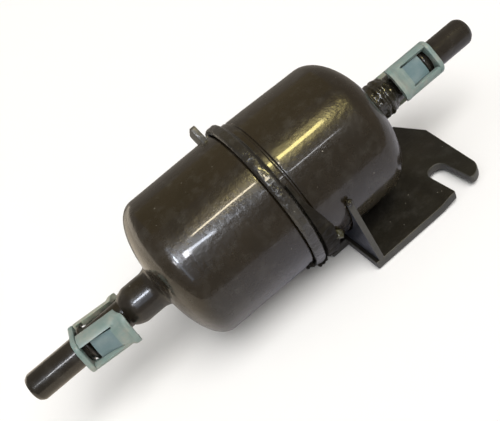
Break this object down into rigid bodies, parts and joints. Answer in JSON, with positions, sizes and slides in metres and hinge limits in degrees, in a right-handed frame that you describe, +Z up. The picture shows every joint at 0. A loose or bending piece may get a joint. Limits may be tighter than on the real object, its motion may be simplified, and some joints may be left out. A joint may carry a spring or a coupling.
{
  "type": "inline fuel filter",
  "caption": "Crimped steel in-line fuel filter with quick-connect pipes at both ends, clip-on plastic retainers and a welded slotted mounting bracket.",
  "frame": {"origin": "middle of the bounding box's underside, in the plane of the bracket plate's lower face", "axes": "+X along the canister axis towards the outlet pipe, +Z up from the bracket plate to the canister, bracket slot opening towards -Y"},
  "size_m": [0.1756, 0.0558, 0.0558],
  "materials": {
    "black_paint": "gloss, light orange peel",
    "pipe_paint": "semi-gloss",
    "bracket_paint": "satin",
    "painted_weld": "satin over rough bead",
    "teal_plastic": "natural moulded, slightly translucent",
    "filter_paper": "matte",
    "tinplate": "bright tinned",
    "black_rubber": "matte",
    "spring_steel": "drawn wire"
  },
  "bodies": {
    "canister": {"inlet_half_shell": "black_paint", "outlet_half_shell": "black_paint", "seam_tab": "black_paint", "inlet_pipe": "pipe_paint", "inlet_collar": "pipe_paint", "outlet_pipe": "pipe_paint", "bracket_plate": "bracket_paint", "bracket_web": "bracket_paint", "bracket_strap": "bracket_paint", "outlet_collar": "painted_weld", "bracket_weld_near": "painted_weld", "bracket_weld_far": "painted_weld", "bracket_web_weld": "painted_weld", "bracket_strap_weld": "painted_weld", "pleated_paper": "filter_paper", "perforated_core": "tinplate", "element_end_cap_inlet": "tinplate", "element_end_cap_outlet": "tinplate", "outlet_grommet": "black_rubber", "seam_seal_ring": "black_rubber", "element_spring": "spring_steel"},
    "inlet_retainer": {"inlet_retainer_ring": "teal_plastic"},
    "inlet_front_leg": {"inlet_release_leg_front": "teal_plastic"},
    "inlet_rear_leg": {"inlet_release_leg_rear": "teal_plastic"},
    "outlet_retainer": {"outlet_retainer_ring": "teal_plastic"},
    "outlet_front_leg": {"outlet_release_leg_front": "teal_plastic"},
    "outlet_rear_leg": {"outlet_release_leg_rear": "teal_plastic"}
  },
  "joints": [
    {"name": "inlet_retainer_spin", "type": "hinge", "parent": "canister", "child": "inlet_retainer", "pos_m": [-0.06925, 0.00065, 0.0286], "axis": [1, 0, 0], "continuous": true},
    {"name": "inlet_front_leg_squeeze", "type": "hinge", "parent": "inlet_retainer", "child": "inlet_front_leg", "pos_m": [-0.06771, -0.00637, 0.03022], "axis": [0.0785, 0.2412, 0.9673], "range_deg": [0, 4], "stiffness_Nm_per_rad": 0.02},
    {"name": "inlet_rear_leg_squeeze", "type": "hinge", "parent": "inlet_retainer", "child": "inlet_rear_leg", "pos_m": [-0.06771, 0.00761, 0.02674], "axis": [-0.0785, -0.2412, -0.9673], "range_deg": [0, 4], "stiffness_Nm_per_rad": 0.02},
    {"name": "outlet_retainer_spin", "type": "hinge", "parent": "canister", "child": "outlet_retainer", "pos_m": [0.07045, 0.00065, 0.0286], "axis": [1, 0, 0], "continuous": true},
    {"name": "outlet_front_leg_squeeze", "type": "hinge", "parent": "outlet_retainer", "child": "outlet_front_leg", "pos_m": [0.0689, -0.0051, 0.03293], "axis": [0, -0.6018, -0.7986], "range_deg": [0, 4], "stiffness_Nm_per_rad": 0.02},
    {"name": "outlet_rear_leg_squeeze", "type": "hinge", "parent": "outlet_retainer", "child": "outlet_rear_leg", "pos_m": [0.0689, 0.0064, 0.02427], "axis": [0, 0.6018, 0.7986], "range_deg": [0, 4], "stiffness_Nm_per_rad": 0.02}
  ],
  "couplings": [
    {"joint": "inlet_rear_leg_squeeze", "follows": "inlet_front_leg_squeeze", "ratio": 1},
    {"joint": "outlet_rear_leg_squeeze", "follows": "outlet_front_leg_squeeze", "ratio": 1}
  ]
}
